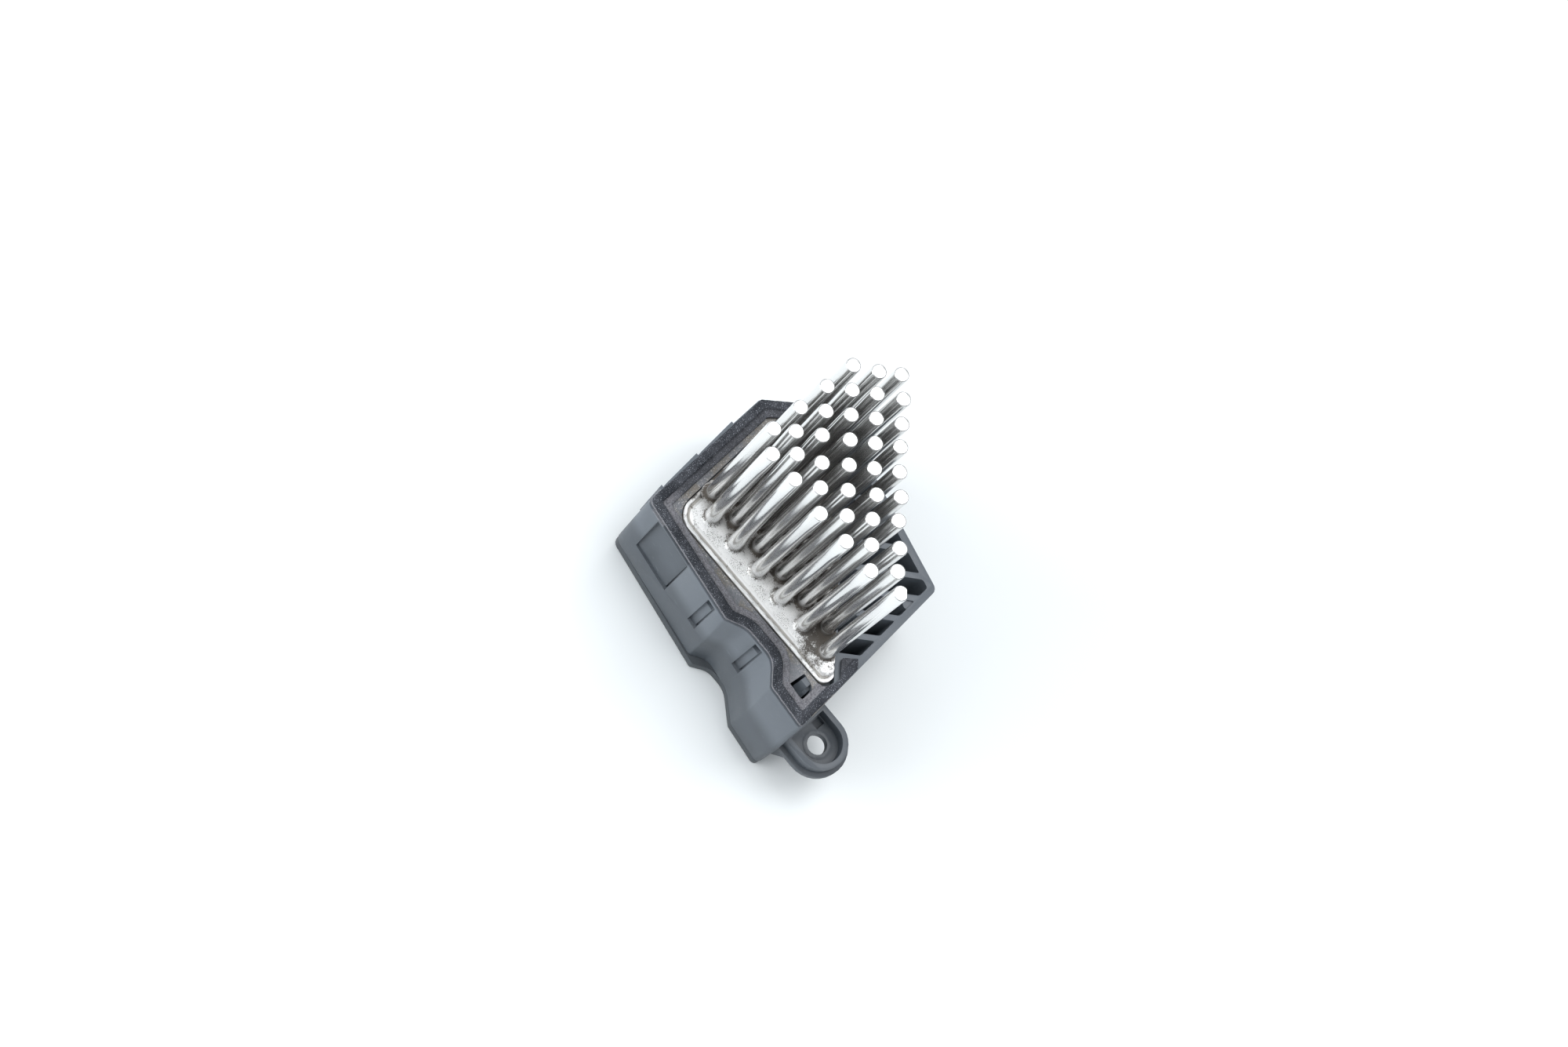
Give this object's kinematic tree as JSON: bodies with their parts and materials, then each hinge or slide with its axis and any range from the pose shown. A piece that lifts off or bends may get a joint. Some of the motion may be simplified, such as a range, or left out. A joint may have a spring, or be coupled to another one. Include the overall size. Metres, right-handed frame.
{
  "type": "blower motor resistor",
  "caption": "Pin-fin heat sink controller for a vehicle blower motor, in a moulded housing with a fixing ear, a foam seal and a back cover with plug sockets.",
  "frame": {"origin": "flat back of the cover, straight below the heat sink's corner pin", "axes": "+Z along the cooling pins, +X along the longest row of pins towards the fixing ear"},
  "size_m": [0.0752, 0.0622, 0.0707],
  "materials": {
    "cast_aluminium": "as cast, slightly rough, bright on the pins, dark grime at their feet",
    "housing_plastic": "moulded, satin, dusty",
    "cover_plastic": "moulded, satin",
    "foam": "open cell foam, dusty, pressed flatter on its inner edge",
    "board": "green lacquered laminate",
    "epoxy": "moulded black epoxy",
    "terminal": "tin plated",
    "steel": "zinc plated",
    "capacitor_can": "drawn, satin",
    "silicone": "smooth, matt"
  },
  "bodies": {
    "root": {"heat_sink": "cast_aluminium", "housing": "housing_plastic", "foam_seal": "foam", "back_cover": "cover_plastic", "circuit_board": "board", "power_transistor_1": "epoxy", "power_transistor_2": "epoxy", "insulator_pad_1": "silicone", "insulator_pad_2": "silicone", "transistor_clip": "steel", "clip_screw": "steel", "cover_screw_1": "steel", "cover_screw_2": "steel", "cover_screw_3": "steel", "capacitor_1": "capacitor_can", "capacitor_2": "capacitor_can", "control_chip": "epoxy", "surge_diode": "epoxy", "shunt_resistor": "terminal", "supply_blade": "terminal", "ground_blade": "terminal", "signal_blade_1": "terminal", "signal_blade_2": "terminal", "signal_blade_3": "terminal", "motor_plus_blade": "terminal", "motor_minus_blade": "terminal"}
  },
  "joints": []
}
